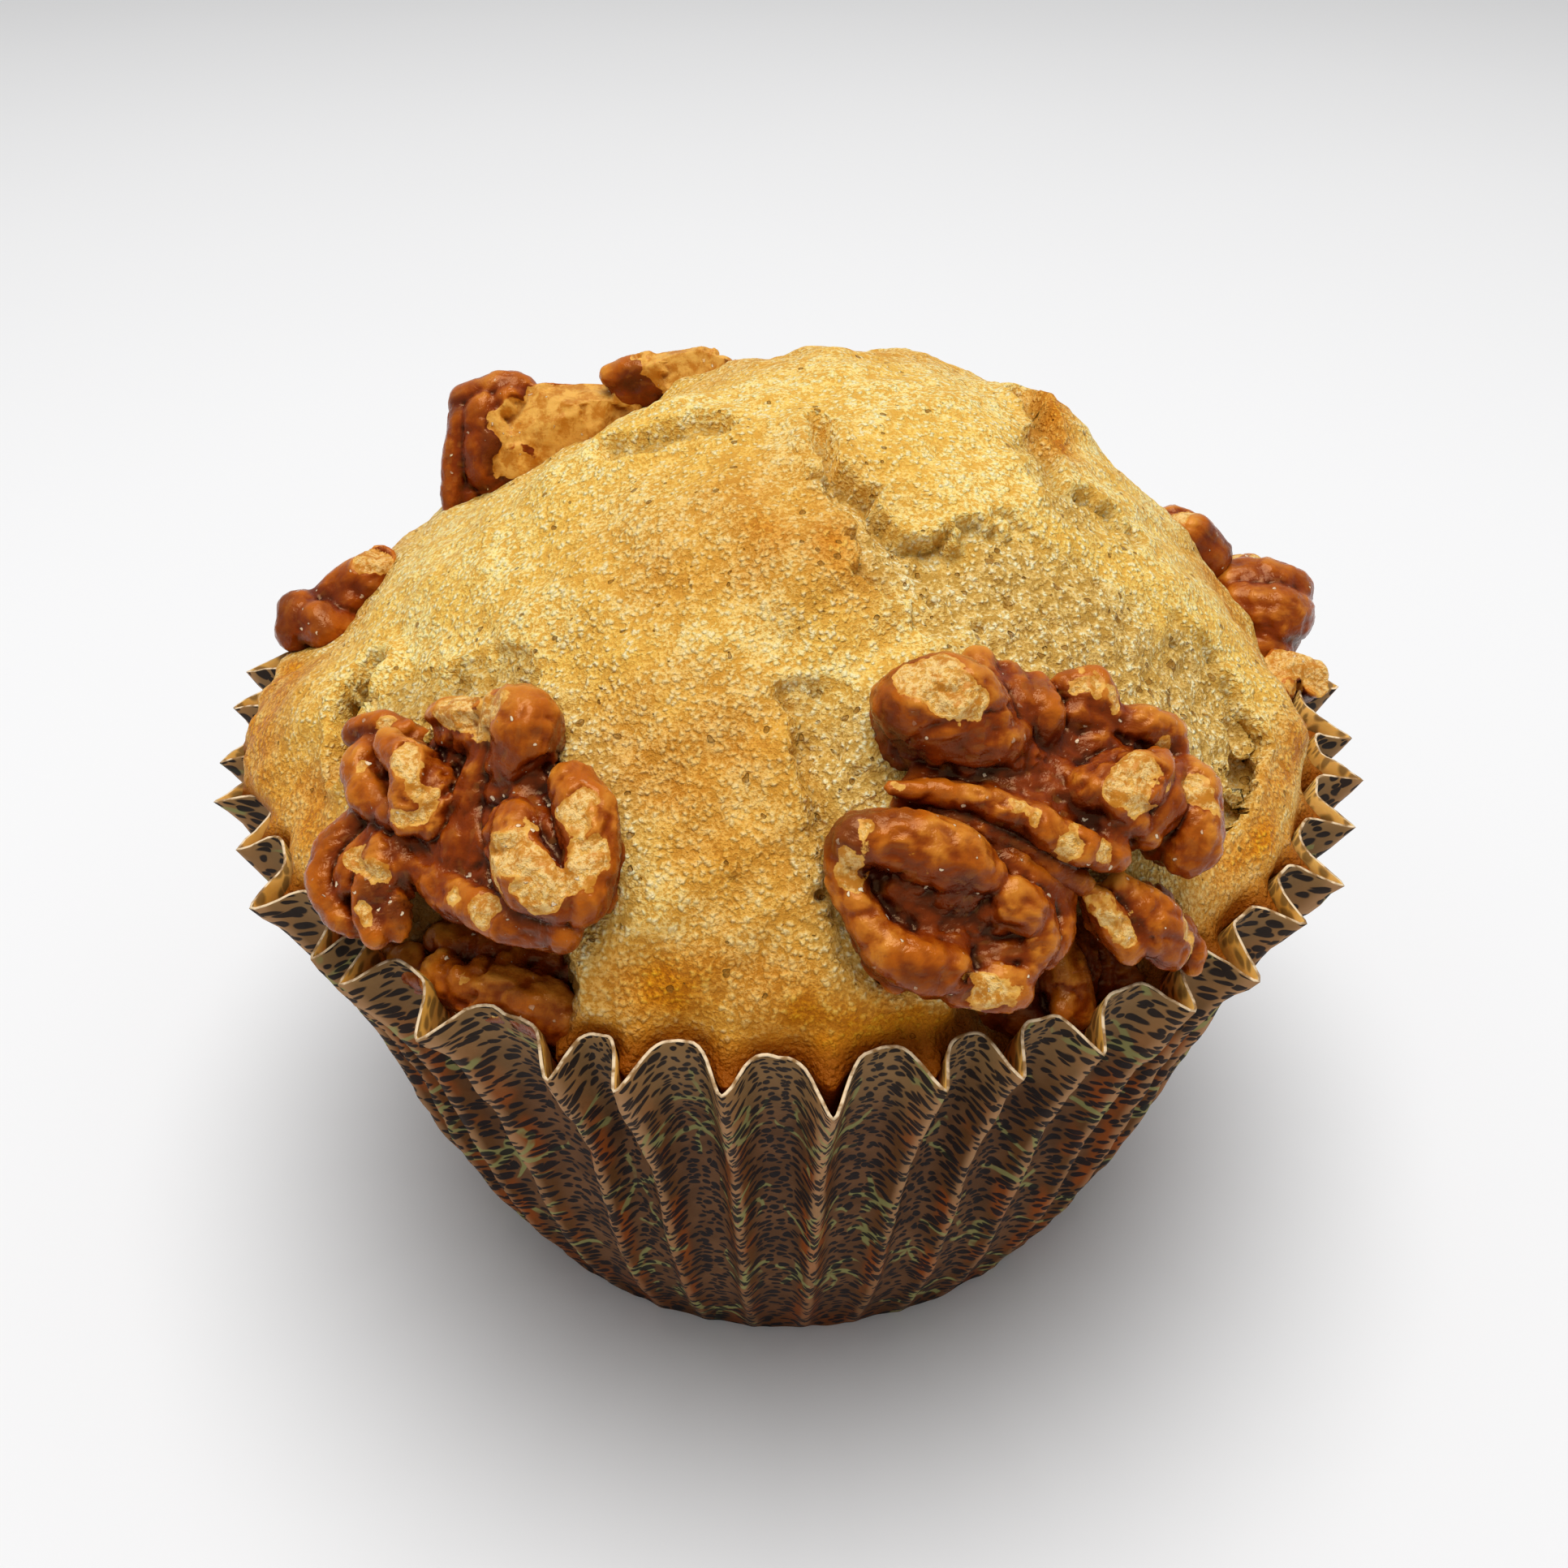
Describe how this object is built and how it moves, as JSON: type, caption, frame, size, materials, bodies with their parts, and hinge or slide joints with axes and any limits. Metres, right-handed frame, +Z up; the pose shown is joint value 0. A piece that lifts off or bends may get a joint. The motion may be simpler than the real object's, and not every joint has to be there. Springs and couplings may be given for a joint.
{
  "type": "walnut muffin",
  "caption": "Round muffin with a cracked domed crust and walnut kernels baked into its top, in a pleated paper case with a spotted print.",
  "frame": {"origin": "middle of the paper case's flat bottom", "axes": "+Z up through the muffin, -Y towards the side with the two large walnut clusters, +X to the right as seen from that side"},
  "size_m": [0.0747, 0.0748, 0.0581],
  "materials": {
    "crust": "matte",
    "case_paper": "matte",
    "walnut": "satin"
  },
  "bodies": {
    "root": {"cake": "crust", "paper_case": "case_paper", "walnut_front_left": "walnut", "walnut_front_left_low": "walnut", "walnut_front_right_upper": "walnut", "walnut_front_right_lower": "walnut", "walnut_front_right_chip": "walnut", "walnut_front_right_low": "walnut", "walnut_back_left": "walnut", "walnut_back_left_top": "walnut", "walnut_left": "walnut", "walnut_right_upper": "walnut", "walnut_right": "walnut", "walnut_right_crumb": "walnut", "walnut_back": "walnut", "walnut_back_low": "walnut"}
  },
  "joints": []
}
